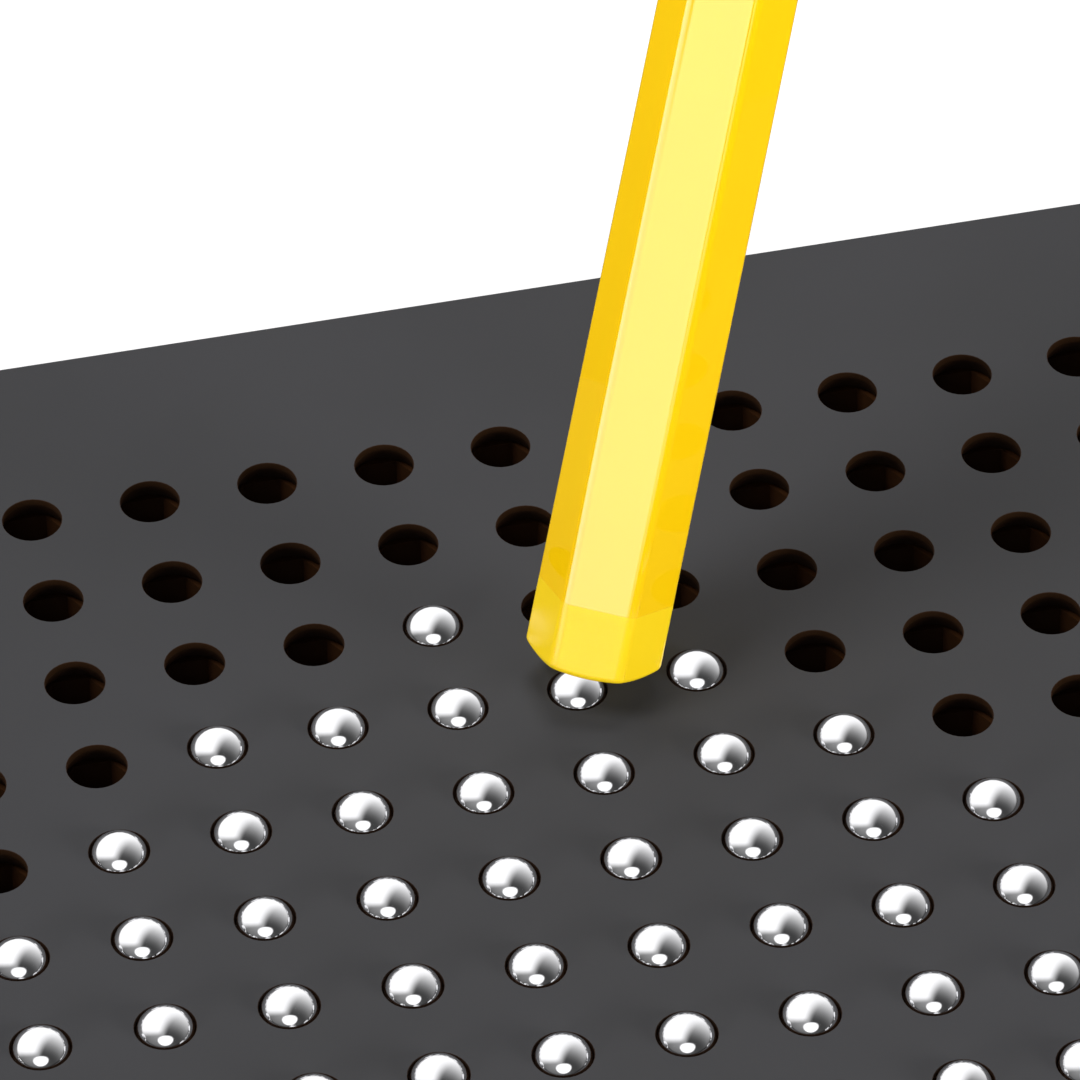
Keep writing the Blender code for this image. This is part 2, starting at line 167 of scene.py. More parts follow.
class Graph:
    """A node tree that is built from expressions."""

    NOISE_MIDDLE = 0.5

    def __init__(self, tree: bpy.types.NodeTree) -> None:
        """Take over a node tree and clear it."""
        self.tree = tree
        tree.nodes.clear()

    def node(
        self,
        kind: str,
        settings: dict[str, Any] | None = None,
        inputs: Inputs | None = None,
        output: str | int = 0,
    ) -> Sock:
        """Add one node.

        Args:
            kind: the node's type.
            settings: the node's own properties, set before its sockets.
            inputs: values or links, by socket name or number.
            output: the output that is wanted, by name or number.

        Returns:
            The wanted output.
        """
        made = self.tree.nodes.new(kind)
        for name, value in (settings or {}).items():
            setattr(made, name, value)
        for key, value in (inputs or {}).items():
            if isinstance(value, Sock):
                self.tree.links.new(value.socket, made.inputs[key])
            else:
                made.inputs[key].default_value = value
        return Sock(self, made.outputs[output] if made.outputs else None)

    def maths(self, operation: str, *values: Value) -> Sock:
        """Add a Math node for an operation on values."""
        return self.node("ShaderNodeMath", {"operation": operation}, dict(enumerate(values)))

    def mix(self, share: Value, low: Any, high: Any) -> Sock:
        """Return a mix of two colours or links: low where the share is 0, high where it is 1."""
        low, high = (c if isinstance(c, Sock) else (*c, 1.0) for c in (low, high))
        return self.node("ShaderNodeMix", {"data_type": "RGBA"}, {0: share, 6: low, 7: high}, 2)

    def ray(self, kind: str) -> Sock:
        """Return 1 where the ray is of a kind, and 0 elsewhere."""
        return self.node("ShaderNodeLightPath", output=kind)

    def along(self, vector: Sock, axis: Sequence[float]) -> Sock:
        """Return how far a vector reaches along an axis."""
        return self.node(
            "ShaderNodeVectorMath", {"operation": "DOT_PRODUCT"}, {0: vector, 1: axis}, "Value")

    def noise(self, place: Sock, size: float, detail: float = 2.0) -> Sock:
        """Return noise from 0 to 1, with blotches of a size and a number of finer layers."""
        return self.node(
            "ShaderNodeTexNoise", None, {"Vector": place, "Scale": 1.0 / size, "Detail": detail})


@dataclass(frozen=True)
class Finish:
    """A finish: a tone and a gloss that drift a little, and a fine grain."""

    name: str
    colour: Colour
    drift_colour: Colour
    roughness: float
    drift_size: float = 9.0 * MM
    roughness_drift: float = 0.06
    grain_size: float = 0.35 * MM
    grain_depth: float = 0.01 * MM
    metallic: float = 0.0
    specular: float = 0.5
    coat: float = 0.0
    coat_roughness: float = 0.03
    broad_range: Span = (0.35, 0.65)
    broad_share: float = 0.7
    fine_stretch: float = 2.0
    gloss_stretch: float = 0.6

    def tone(self, graph: Graph, place: Sock) -> Sock:
        """Return the colour: two tones that drift into each other.

        Args:
            graph: the material's graph.
            place: object coordinates.

        Returns:
            The colour.
        """
        broad = graph.noise(place, self.drift_size, detail=3.0).rise(*self.broad_range)
        fine = graph.noise(place, self.grain_size * self.fine_stretch, detail=1.0)
        share = self.broad_share * broad + (1.0 - self.broad_share) * fine
        return graph.mix(share, self.colour, self.drift_colour)

    def gloss(self, graph: Graph, place: Sock) -> Sock:
        """Return the roughness at object coordinates, which drifts about its middle value."""
        drift = graph.noise(place, self.drift_size * self.gloss_stretch, detail=4.0)
        return (drift - graph.NOISE_MIDDLE) * (2.0 * self.roughness_drift) + self.roughness

    def height(self, graph: Graph, place: Sock) -> Sock:
        """Return the height of the surface grain at object coordinates, from 0 to 1."""
        return graph.noise(place, self.grain_size)

    def material(self) -> bpy.types.Material:
        """Make the material.

        Returns:
            A material with this finish.
        """
        made = bpy.data.materials.new(self.name)
        made.use_nodes = True
        graph = Graph(made.node_tree)
        place = graph.node("ShaderNodeTexCoord", output="Object")
        grain = {"Strength": 1.0, "Distance": self.grain_depth, "Height": self.height(graph, place)}
        shader = graph.node("ShaderNodeBsdfPrincipled", None, {
            "Base Color": self.tone(graph, place),
            "Roughness": self.gloss(graph, place),
            "Metallic": self.metallic,
            "Specular IOR Level": self.specular,
            "Coat Weight": self.coat,
            "Coat Roughness": self.coat_roughness,
            "Normal": graph.node("ShaderNodeBump", None, grain),
        })
        graph.node("ShaderNodeOutputMaterial", None, {"Surface": shader})
        return made


@dataclass(frozen=True)
class Scratched(Finish):
    """A metal finish with fine hairline scratches in its gloss."""

    scratch_size: float = 0.12 * MM
    scratch_length: float = 30.0
    scratch_gloss: float = 0.10
    scratch_turns: Sequence[float] = (0.4, 2.1)
    scratch_range: Span = (0.66, 0.74)

    def gloss(self, graph: Graph, place: Sock) -> Sock:
        """Return the roughness, rougher along hairlines in two directions.

        Args:
            graph: the material's graph.
            place: object coordinates.

        Returns:
            The roughness.
        """
        total = super().gloss(graph, place)
        for turn in self.scratch_turns:
            turned = graph.node("ShaderNodeMapping", None, {
                "Vector": place,
                "Rotation": (turn, turn / 2, turn),
                "Scale": (1.0, 1.0, 1.0 / self.scratch_length),
            })
            hair = graph.noise(turned, self.scratch_size, detail=1.0).rise(*self.scratch_range)
            total = total + hair * self.scratch_gloss
        return total


@dataclass(frozen=True)
class Speckled(Finish):
    """A filled plastic or rubber finish with fine light specks."""

    speck_colour: Colour = (0.2, 0.2, 0.2)
    speck_size: float = 0.25 * MM
    speck_range: Span = (0.68, 0.80)

    def tone(self, graph: Graph, place: Sock) -> Sock:
        """Return the drifting tone at object coordinates, with specks over it."""
        specks = graph.noise(place, self.speck_size, detail=0.0).rise(*self.speck_range)
        return graph.mix(specks, super().tone(graph, place), self.speck_colour)


PRINTED_GREY = Finish(
    "printed dark grey", (0.0525, 0.0525, 0.0552), (0.0560, 0.0560, 0.0597), 0.47,
    drift_size=25.0 * MM, grain_size=0.3 * MM, grain_depth=0.004 * MM, specular=0.04)
HOLE_BLACK = Finish(
    "black plate moulding", (0.018, 0.008, 0.0035), (0.022, 0.010, 0.0042), 0.6,
    grain_size=0.2 * MM, specular=0.15)
# The cell block's own tone is a brown-black moulding, lightened past it as painted fill light for its
# wells, where little light reaches.
INNER_BROWN_WITH_PAINTED_FILL = Finish(
    "brown-black inner moulding lightened as painted fill light", (0.047, 0.019, 0.007), (0.055, 0.022, 0.008), 0.7,
    grain_size=0.25 * MM, specular=0.15)
SHEET_BROWN = Speckled(
    "bonded ferrite", (0.032, 0.026, 0.022), (0.042, 0.033, 0.027), 0.75,
    speck_colour=(0.09, 0.08, 0.075))
COVER_BLACK = Finish(
    "grained dark moulding", (0.040, 0.040, 0.042), (0.050, 0.050, 0.053), 0.52,
    drift_size=18.0 * MM, grain_size=0.45 * MM, grain_depth=0.03 * MM, specular=0.4)
FOOT_BLACK = Speckled(
    "black rubber", (0.022, 0.022, 0.022), (0.030, 0.029, 0.028), 0.85,
    grain_size=0.5 * MM, grain_depth=0.02 * MM, specular=0.3, speck_colour=(0.06, 0.06, 0.06))
ZINC_PLATE = Scratched(
    "zinc plated steel", (0.60, 0.61, 0.62), (0.50, 0.52, 0.55), 0.32,
    drift_size=2.0 * MM, metallic=1.0, grain_depth=0.002 * MM)
POLISHED_STEEL = Scratched(
    "polished ball steel", (0.90, 0.90, 0.915), (0.86, 0.86, 0.88), 0.055,
    drift_size=1.6 * MM, roughness_drift=0.02, grain_size=0.6 * MM, grain_depth=0.0004 * MM,
    metallic=1.0, scratch_size=0.05 * MM, scratch_gloss=0.05)
NICKEL_PLATE = Scratched(
    "nickel plated magnet", (0.64, 0.61, 0.56), (0.56, 0.53, 0.48), 0.22,
    drift_size=2.0 * MM, metallic=1.0, grain_depth=0.001 * MM)
BARREL_YELLOW = Finish(
    "glossy yellow moulding", (0.98, 0.61, 0.004), (0.97, 0.59, 0.003), 0.32,
    drift_size=14.0 * MM, roughness_drift=0.03, grain_size=0.8 * MM, grain_depth=0.002 * MM,
    specular=0.0, coat=1.0, coat_roughness=0.0)
TIP_YELLOW = Finish(
    "satin yellow moulding", (0.98, 0.68, 0.012), (0.97, 0.66, 0.010), 0.38,
    drift_size=6.0 * MM, roughness_drift=0.03, grain_size=0.5 * MM, grain_depth=0.003 * MM,
    specular=0.0, coat=0.8, coat_roughness=0.18)


class Bench:
    """Modelling steps made of Blender's operators, each on one object."""

    NEAR = 0.01 * MM
    LEVEL_NORMAL = 0.99
    WALL_ANGLE_DEG = 60.0
    CORNER_STEPS = 12

    @staticmethod
    def pick(*objects: Piece) -> None:
        """Select only these objects.

        Args:
            objects: the objects, the one to make active first.
        """
        bpy.ops.object.select_all(action="DESELECT")
        for obj in objects:
            obj.select_set(True)
        bpy.context.view_layer.objects.active = objects[0]

    @staticmethod
    @contextmanager
    def editing(obj: Piece) -> Iterator[None]:
        """Keep an object in edit mode, with all of its mesh selected at first.

        Args:
            obj: the object to edit.

        Returns:
            A context in which mesh operators act on the object.
        """
        Bench.pick(obj)
        bpy.ops.object.mode_set(mode="EDIT")
        bpy.ops.mesh.select_all(action="SELECT")
        yield
        bpy.ops.object.mode_set(mode="OBJECT")

    @staticmethod
    def select(obj: Piece, part: Part, test: Callable[[Any], bool]) -> None:
        """Select the edges or faces that pass a test, in edit mode.

        Args:
            obj: the object in edit mode.
            part: whether edges or faces are selected.
            test: takes a bmesh edge or face and says whether it is selected.
        """
        bpy.ops.mesh.select_mode(type=part.value)
        bpy.ops.mesh.select_all(action="DESELECT")
        mesh = bmesh.from_edit_mesh(obj.data)
        for item in mesh.edges if part is Part.EDGE else mesh.faces:
            if test(item):
                item.select_set(True)
        mesh.select_flush_mode()
        bmesh.update_edit_mesh(obj.data)

    @staticmethod
    def settle(obj: Piece, name: str) -> Piece:
        """Name an object and move its place, turn and scale into its mesh.

        Args:
            obj: the object.
            name: its new name, also its mesh's.

        Returns:
            The same object, with its origin at the world's.
        """
        Bench.pick(obj)
        bpy.ops.object.transform_apply(location=True, rotation=True, scale=True)
        obj.name = name
        obj.data.name = name
        return obj

    @staticmethod
    def apply_modifiers(obj: Piece) -> None:
        """Apply all modifiers of an object, in their order.

        Args:
            obj: the object.
        """
        Bench.pick(obj)
        for modifier in list(obj.modifiers):
            bpy.ops.object.modifier_apply(modifier=modifier.name)

    @staticmethod
    def shape(obj: Piece, tool: Piece, how: Shaping) -> None:
        """Shape an object with a closed tool shape, which is used up.

        Args:
            obj: the object that is shaped.
            tool: the closed shape.
            how: cut it away, join it, or keep what both fill.
        """
        modifier = obj.modifiers.new("shape", "BOOLEAN")
        modifier.operation = how.value
        modifier.solver = "EXACT"
        modifier.object = tool
        Bench.apply_modifiers(obj)
        bpy.data.objects.remove(tool)

    @staticmethod
    def copy(obj: Piece, name: str, move: Sequence[float]) -> Piece:
        """Copy an object with a mesh of its own.

        Args:
            obj: the object to copy.
            name: the copy's name.
            move: how far the copy is moved along X, Y and Z.

        Returns:
            The copy, with its origin at the world's.
        """
        twin = obj.copy()
        twin.data = obj.data.copy()
        bpy.context.scene.collection.objects.link(twin)
        twin.location = move
        return Bench.settle(twin, name)

    @staticmethod
    def at_places(obj: Piece, name: str, places: Sequence[Place], lift: float = 0.0) -> Piece:
        """Repeat an object at several places, as one joined object.

        Args:
            obj: the object, modelled on the world's Z axis. It is used up.
            name: the joined object's name.
            places: X and Y of each copy.
            lift: how far every copy is raised.

        Returns:
            The joined object.
        """
        twins = [Bench.copy(obj, name, (x, y, lift)) for x, y in places]
        bpy.data.objects.remove(obj)
        Bench.pick(*twins)
        if len(twins) > 1:
            bpy.ops.object.join()
        return Bench.settle(bpy.context.active_object, name)

    @staticmethod
    def block(name: str, half: Place, radius: float, levels: Span) -> Piece:
        """Model an upright block with round corners.

        Args:
            name: the object's name.
            half: half its width and half its depth.
            radius: the corners' radius in plan.
            levels: heights of its bottom and its top.

        Returns:
            The block.
        """
        bottom, top = levels
        bpy.ops.mesh.primitive_plane_add(size=2.0, location=(0.0, 0.0, bottom))
        obj = bpy.context.active_object
        obj.scale = (half[0], half[1], 1.0)
        Bench.settle(obj, name)
        with Bench.editing(obj):
            bpy.ops.mesh.bevel(offset=radius, segments=Bench.CORNER_STEPS, affect="VERTICES")
            bpy.ops.mesh.select_all(action="SELECT")
            Bench.draw_up([(1.0, bottom), (1.0, top)])
        return obj

    @staticmethod
    def turned(name: str, rings: Sequence[Ring], sides: int) -> Piece:
        """Model a round solid on the Z axis by extruding and resizing its end face.

        Args:
            name: the object's name.
            rings: radius and height of each ring, bottom to top.
            sides: sides of the round.

        Returns:
            The solid.
        """
        (radius, height), *_ = rings
        bpy.ops.mesh.primitive_circle_add(
            vertices=sides, radius=radius, fill_type="NGON", location=(0.0, 0.0, height))
        obj = Bench.settle(bpy.context.active_object, name)
        with Bench.editing(obj):
            Bench.draw_up(rings)
        return obj

    @staticmethod
    def rod(name: str, radius: float, levels: Span, sides: int) -> Piece:
        """Model a round rod on the Z axis between two heights."""
        return Bench.turned(name, [(radius, level) for level in levels], sides)

    @staticmethod
    def draw_up(rings: Sequence[Ring]) -> None:
        """Extrude the selected end face through rings, in edit mode, and close the solid.

        Args:
            rings: radius or relative size, and height, of each ring. The face is the first.
        """
        for (size, height), (next_size, next_height) in zip(rings, rings[1:]):
            bpy.ops.mesh.extrude_region_move(
                TRANSFORM_OT_translate={"value": (0.0, 0.0, next_height - height)})
            ratio = next_size / size
            bpy.ops.transform.resize(
                value=(ratio, ratio, 1.0), center_override=(0.0, 0.0, next_height))
        bpy.ops.mesh.select_all(action="SELECT")
        bpy.ops.mesh.normals_make_consistent(inside=False)

    @staticmethod
    def round_rim(obj: Piece, level: float, width: float, steps: int) -> None:
        """Round the rim between an upright wall and the flat face at a level.

        Args:
            obj: the object.
            level: height of the flat face.
            width: the round's radius.
            steps: faces across the round.
        """
        def at_rim(edge: bmesh.types.BMEdge) -> bool:
            """Tell whether an edge lies at the level and turns down or up a wall."""
            flat = all(abs(vert.co.z - level) < Bench.NEAR for vert in edge.verts)
            return flat and edge.calc_face_angle(0.0) > math.radians(Bench.WALL_ANGLE_DEG)

        with Bench.editing(obj):
            Bench.select(obj, Part.EDGE, at_rim)
            bpy.ops.mesh.bevel(offset=width, segments=steps, affect="EDGES")

    @staticmethod
    def smooth(obj: Piece, angle_deg: float = 32.0) -> None:
        """Shade an object smooth up to an angle, with its broad faces kept flat.

        Args:
            obj: the object.
            angle_deg: edges sharper than this stay sharp.
        """
        Bench.pick(obj)
        bpy.ops.object.shade_smooth_by_angle(angle=math.radians(angle_deg))
        modifier = obj.modifiers.new("broad faces", "WEIGHTED_NORMAL")
        modifier.keep_sharp = True
        Bench.apply_modifiers(obj)

    @staticmethod
    def paint(obj: Piece, *finishes: Finish) -> None:
        """Give an object these finishes and no others, each as a material of its own.

        Args:
            obj: the object.
            finishes: its finishes, in the order of their slots.
        """
        obj.data.materials.clear()
        for finish in finishes:
            obj.data.materials.append(finish.material())


def enrol(obj: Piece, body: str, slot: Slot, *nodes: str) -> None:
    """Give a piece its body, hide the nodes that it stands for, and log it.

    Args:
        obj: the piece.
        body: the body that it rides on.
        slot: not used.
        *nodes: the solids that it replaces.
    """
    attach(obj, body)
    if nodes:
        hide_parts(*nodes)
    LOG.info("%s rides on %s, %d faces", obj.name, body, len(obj.data.polygons))


def rings_in_mm(*rings: Ring) -> tuple[Ring, ...]:
    """Return rings in metres, from their radius and height in millimetres."""
    return tuple((radius * MM, height * MM) for radius, height in rings)


@dataclass(frozen=True)
class Plan:
    """Plan and heights that the board's pieces share."""

    columns: int = 14
    rows: int = 10
    pitch: float = 10.0 * MM
    half_width: float = 84.3 * MM
    half_depth: float = 64.3 * MM
    corner_radius: float = 9.0 * MM
    block_half_width: float = 70.1 * MM
    block_half_depth: float = 50.1 * MM
    block_corner_radius: float = 3.0 * MM
    cover_bottom: float = 1.5 * MM
    cover_floor: float = 3.5 * MM
    cover_top: float = 10.8875 * MM
    face_bottom: float = 11.1875 * MM
    surface: float = 13.1875 * MM
    post_x: float = 76.2 * MM
    post_y: float = 56.2 * MM
    foot_x: float = 62.3 * MM
    foot_y: float = 42.3 * MM

    def slab(self, name: str, inset: float, levels: Span) -> Piece:
        """Model a block with the board's outline, drawn in by an inset."""
        half = (self.half_width - inset, self.half_depth - inset)
        return Bench.block(name, half, self.corner_radius - inset, levels)

    def inner_slab(self, name: str, outset: float, levels: Span) -> Piece:
        """Model a block with the cell block's outline, let out by an outset."""
        half = (self.block_half_width + outset, self.block_half_depth + outset)
        return Bench.block(name, half, self.block_corner_radius + outset, levels)

    def holes(self) -> list[Place]:
        """Lay out the grid of holes.

        Returns:
            The place of every hole, row by row from the far edge.
        """
        return [
            ((column - (self.columns - 1) / 2) * self.pitch, ((self.rows - 1) / 2 - row) * self.pitch)
            for row in range(self.rows)
            for column in range(self.columns)
        ]

    def posts(self) -> list[Place]:
        """Return the place of every screw post."""
        return [(x, y) for y in (-self.post_y, self.post_y) for x in (-self.post_x, 0.0, self.post_x)]

    def feet(self) -> list[Place]:
        """Return the place of every foot."""
        return [(x, y) for y in (-self.foot_y, self.foot_y) for x in (-self.foot_x, self.foot_x)]


@dataclass
class FacePlate:
    """The holed plate, printed grey above and black in its holes."""

    plan: Plan
    edge_round: float = 0.6 * MM
    edge_steps: int = 4
    hole_sides: int = 32
    throat_radius: float = 2.45 * MM
    throat_depth: float = 0.49 * MM
    mouth_radius: float = 2.53 * MM
    mouth_round: float = 0.04 * MM
    flare_radius: float = 3.0 * MM
    lip_inset: float = 2.3 * MM
    lip_thickness: float = 1.2 * MM
    lip_height: float = 1.6 * MM
    post_radius: float = 3.3 * MM
    post_bottom: float = 3.8 * MM
    post_sides: int = 32
    pilot_radius: float = 1.45 * MM
    pilot_top: float = 9.3 * MM
    pilot_sides: int = 24
    overrun: float = 1.0 * MM
    underside: float = -0.5

    def hole_tool(self) -> Piece:
        """Model the waisted shape of one hole and repeat it over the grid.

        Returns:
            All hole shapes as one object.
        """
        plan = self.plan
        top = plan.surface
        eased = self.mouth_round
        rings = [
            (self.flare_radius, plan.face_bottom - self.overrun),
            (self.flare_radius, plan.face_bottom),
            (self.throat_radius, top - self.throat_depth - eased),
            (self.throat_radius, top - self.throat_depth),
            (self.mouth_radius - eased, top - eased),
            (self.mouth_radius + eased, top + eased),
            (self.mouth_radius + eased, top + self.overrun),
        ]
        hole = Bench.turned("hole", rings, self.hole_sides)
        return Bench.at_places(hole, "holes", plan.holes())

    def build(self) -> None:
        """Model the plate with its lip, posts and holes, and dress it."""
        plan = self.plan
        plate = plan.slab("holed_plate", 0.0, (plan.face_bottom, plan.surface))
        Bench.round_rim(plate, plan.surface, self.edge_round, self.edge_steps)

        root = (plan.face_bottom + plan.surface) / 2
        lip_bottom = plan.face_bottom - self.lip_height
        lip = plan.slab("lip", self.lip_inset, (lip_bottom, root))
        Bench.shape(plate, lip, Shaping.JOIN)
        hollow_levels = (lip_bottom - self.overrun, plan.face_bottom)
        hollow = plan.slab("hollow", self.lip_inset + self.lip_thickness, hollow_levels)
        Bench.shape(plate, hollow, Shaping.CUT)
        post = Bench.rod("post", self.post_radius, (self.post_bottom, root), self.post_sides)
        Bench.shape(plate, Bench.at_places(post, "posts", plan.posts()), Shaping.JOIN)
        pilot_levels = (self.post_bottom - self.overrun, self.pilot_top)
        pilot = Bench.rod("pilot", self.pilot_radius, pilot_levels, self.pilot_sides)
        Bench.shape(plate, Bench.at_places(pilot, "pilots", plan.posts()), Shaping.CUT)
        Bench.shape(plate, self.hole_tool(), Shaping.CUT)
        Bench.smooth(plate)
        self.dress(plate)
        enrol(plate, Body.BOARD, Slot.FACE, "face_plate")

    def dress(self, plate: Piece) -> None:
        """Print the top and the rim grey, and leave the holes and the inside black.

        Args:
            plate: the finished plate.
        """
        Bench.paint(plate, PRINTED_GREY, HOLE_BLACK)
        plan = self.plan

        def unprinted(face: bmesh.types.BMFace) -> bool:
            """Look whether a face stays black.

            Args:
                face: a face of the plate.

            Returns:
                True for a face in a hole or under the plate.
            """
            middle = face.calc_center_median()
            in_grid = abs(middle.x) < plan.block_half_width and abs(middle.y) < plan.block_half_depth
            on_top = face.normal.z > Bench.LEVEL_NORMAL and middle.z > plan.surface - Bench.NEAR
            below = face.normal.z < self.underside or middle.z < plan.face_bottom
            return below or (in_grid and not on_top)

        with Bench.editing(plate):
            Bench.select(plate, Part.FACE, lambda face: True)
            plate.active_material_index = 0
            bpy.ops.object.material_slot_assign()
            Bench.select(plate, Part.FACE, unprinted)
            plate.active_material_index = 1
            bpy.ops.object.material_slot_assign()


@dataclass
class BackCover:
    """The tray that closes the board from below."""

    plan: Plan
    wall: float = 2.0 * MM
    edge_round: float = 1.2 * MM
    edge_steps: int = 6
    rib_gap: float = 0.3 * MM
    rib_thickness: float = 1.2 * MM
    rib_top: float = 5.9 * MM
    screw_hole: Sequence[Ring] = rings_in_mm(
        (2.80, 0.5), (2.80, 1.5), (2.65, 1.65), (2.65, 2.75), (1.45, 2.75), (1.45, 4.5))
    foot_recess: Sequence[Ring] = rings_in_mm((5.95, 0.5), (5.95, 1.5), (5.80, 1.65), (5.80, 2.1))
    round_sides: int = 48
    overrun: float = 1.0 * MM

    def build(self) -> None:
        """Model the tray with its rib, screw holes and foot recesses, and dress it."""
        plan = self.plan
        cover = plan.slab("rear_tray", 0.0, (plan.cover_bottom, plan.cover_top))
        Bench.round_rim(cover, plan.cover_bottom, self.edge_round, self.edge_steps)
        hollow = plan.slab("hollow", self.wall, (plan.cover_floor, plan.cover_top + self.overrun))
        Bench.shape(cover, hollow, Shaping.CUT)

        rib_levels = (plan.cover_floor - self.overrun, self.rib_top)
        rib = plan.inner_slab("rib", self.rib_gap + self.rib_thickness, rib_levels)
        Bench.shape(cover, rib, Shaping.JOIN)
        inside_levels = (plan.cover_floor, self.rib_top + self.overrun)
        inside = plan.inner_slab("inside", self.rib_gap, inside_levels)
        Bench.shape(cover, inside, Shaping.CUT)

        for rings, places in ((self.screw_hole, plan.posts()), (self.foot_recess, plan.feet())):
            tool = Bench.turned("opening", rings, self.round_sides)
            Bench.shape(cover, Bench.at_places(tool, "openings", places), Shaping.CUT)
        Bench.smooth(cover)
        Bench.paint(cover, COVER_BLACK)
        enrol(cover, Body.BOARD, Slot.COVER, "back_cover")


@dataclass
class RubberFeet:
    """Four round feet in the cover's recesses."""

    plan: Plan
    rings: Sequence[Ring] = rings_in_mm(
        (4.70, 0.10), (4.80, 0.00), (5.10, 0.00), (5.28, 0.05), (5.42, 0.18), (5.50, 0.38),
        (5.50, 1.80))
    sides: int = 48
    smooth_deg: float = 50.0

    def build(self) -> None:
        """Model one foot, copy it to the four places and dress each."""
        foot = Bench.turned("foot", self.rings, self.sides)
        Bench.smooth(foot, self.smooth_deg)
        for i, (x, y) in enumerate(self.plan.feet(), start=1):
            pad = Bench.copy(foot, f"foot_pad_{i}", (x, y, 0.0))
            Bench.paint(pad, FOOT_BLACK)
            enrol(pad, Body.BOARD, Slot.RUBBER, f"rubber_foot_{i}")
        bpy.data.objects.remove(foot)


@dataclass
class CoverScrews:
    """Six cross-head screws, seen from below."""

    plan: Plan
    bottom: float = 1.65 * MM
    head: Sequence[Ring] = rings_in_mm(
        (1.60, 0.00), (2.02, 0.07), (2.34, 0.24), (2.50, 0.50), (2.50, 0.95))
    shank_radius: float = 1.30 * MM
    root_radius: float = 1.10 * MM
    thread_pitch: float = 0.5 * MM
    shank_top: float = 6.35 * MM
    point_top: float = 7.35 * MM
    point_radius: float = 0.43 * MM
    arm_half_length: float = 1.3 * MM
    arm_half_width: float = 0.35 * MM
    recess_depth: float = 0.6 * MM
    recess_taper: float = 0.7
    sides: int = 32
    smooth_deg: float = 40.0

    def rings(self) -> list[Ring]:
        """Return the screw's rings: domed head, ridged shank and point.

        Returns:
            Radius and height of each ring, bottom to top.
        """
        under_head = self.head[-1][1]
        rings = [*self.head, (self.shank_radius, under_head)]
        level = under_head + self.thread_pitch
        while level < self.shank_top:
            rings.append((self.root_radius, level))
            rings.append((self.shank_radius, level + self.thread_pitch / 2))
            level += self.thread_pitch
        return [*rings, (self.point_radius, self.point_top)]

    def recess_tool(self) -> Piece:
        """Model the tapered cross that is cut into a head.

        Returns:
            The cross shape.
        """
        arms = []
        half = (self.arm_half_length, self.arm_half_width)
        taper = (self.recess_taper, self.recess_taper, 1.0)
        for half_x, half_y in (half, half[::-1]):
            bpy.ops.mesh.primitive_cube_add(size=2.0)
            arm = bpy.context.active_object
            arm.scale = (half_x, half_y, self.recess_depth)
            Bench.settle(arm, "arm")
            with Bench.editing(arm):
                Bench.select(arm, Part.FACE, lambda face: face.normal.z > Bench.LEVEL_NORMAL)
                bpy.ops.transform.resize(value=taper, center_override=(0.0, 0.0, self.recess_depth))
            arms.append(arm)
        Bench.shape(arms[0], arms[1], Shaping.JOIN)
        return arms[0]

    def build(self) -> None:
        """Model one screw, copy it to the six posts and dress each."""
        screw = Bench.turned("screw", self.rings(), self.sides)
        Bench.shape(screw, self.recess_tool(), Shaping.CUT)
        Bench.smooth(screw, self.smooth_deg)
        for i, (x, y) in enumerate(self.plan.posts(), start=1):
            copy = Bench.copy(screw, f"tray_screw_{i}", (x, y, self.bottom))
            Bench.paint(copy, ZINC_PLATE)
            enrol(copy, Body.BOARD, Slot.ZINC, f"cover_screw_{i}")
        bpy.data.objects.remove(screw)


@dataclass
class SteelBalls:
    """Polished balls: the raised ones on bodies of their own, the others down in their wells."""

    plan: Plan
    radius: float = 2.5 * MM
    drop: float = 5.0 * MM
    raised_cuts: int = 9
    lowered_cuts: int = 3
    solid_prefix: str = "steel_ball_"
    place_digits: int = 4
    raised: list[Vector] = field(default_factory=list)

    def spot(self, place: Sequence[float]) -> Place:
        """Return a place's X and Y, rounded so that two places can be compared."""
        return round(place[0], self.place_digits), round(place[1], self.place_digits)

    def ball(self, cuts: int) -> Piece:
        """Model a ball from a cube that is cut up and cast to a sphere.

        Args:
            cuts: cuts across each side of the cube.

        Returns:
            A ball at the world's origin.
        """
        bpy.ops.mesh.primitive_cube_add(size=self.radius)
        obj = bpy.context.active_object
        with Bench.editing(obj):
            bpy.ops.mesh.subdivide(number_cuts=cuts)
        modifier = obj.modifiers.new("round", "CAST")
        modifier.factor = 1.0
        modifier.use_radius_as_size = False
        modifier.size = self.radius
        Bench.apply_modifiers(obj)
        bpy.ops.object.shade_smooth()
        Bench.paint(obj, POLISHED_STEEL)
        return obj

    def build_raised(self, nodes: dict[str, Piece]) -> None:
        """Put a fine ball in place of each raised solid.

        Args:
            nodes: the frame's solids by name.
        """
        model = self.ball(self.raised_cuts)
        for name in sorted(name for name in nodes if name.startswith(self.solid_prefix)):
            low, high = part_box(name)
            self.raised.append((low + high) / 2)
            body = name.replace(self.solid_prefix, "ball_")
            ball = Bench.copy(model, f"raised_{body}", self.raised[-1])
            enrol(ball, body, Slot.STEEL, name)
        bpy.data.objects.remove(model)

    def build_lowered(self) -> None:
        """Put a plainer ball at the bottom of every other well, all in one piece."""
        taken = {self.spot(place) for place in self.raised}
        free = [place for place in self.plan.holes() if self.spot(place) not in taken]
        height = max(place.z for place in self.raised) - self.drop
        lowered = Bench.at_places(self.ball(self.lowered_cuts), "lowered_balls", free, height)
        enrol(lowered, Body.BOARD, Slot.STEEL)


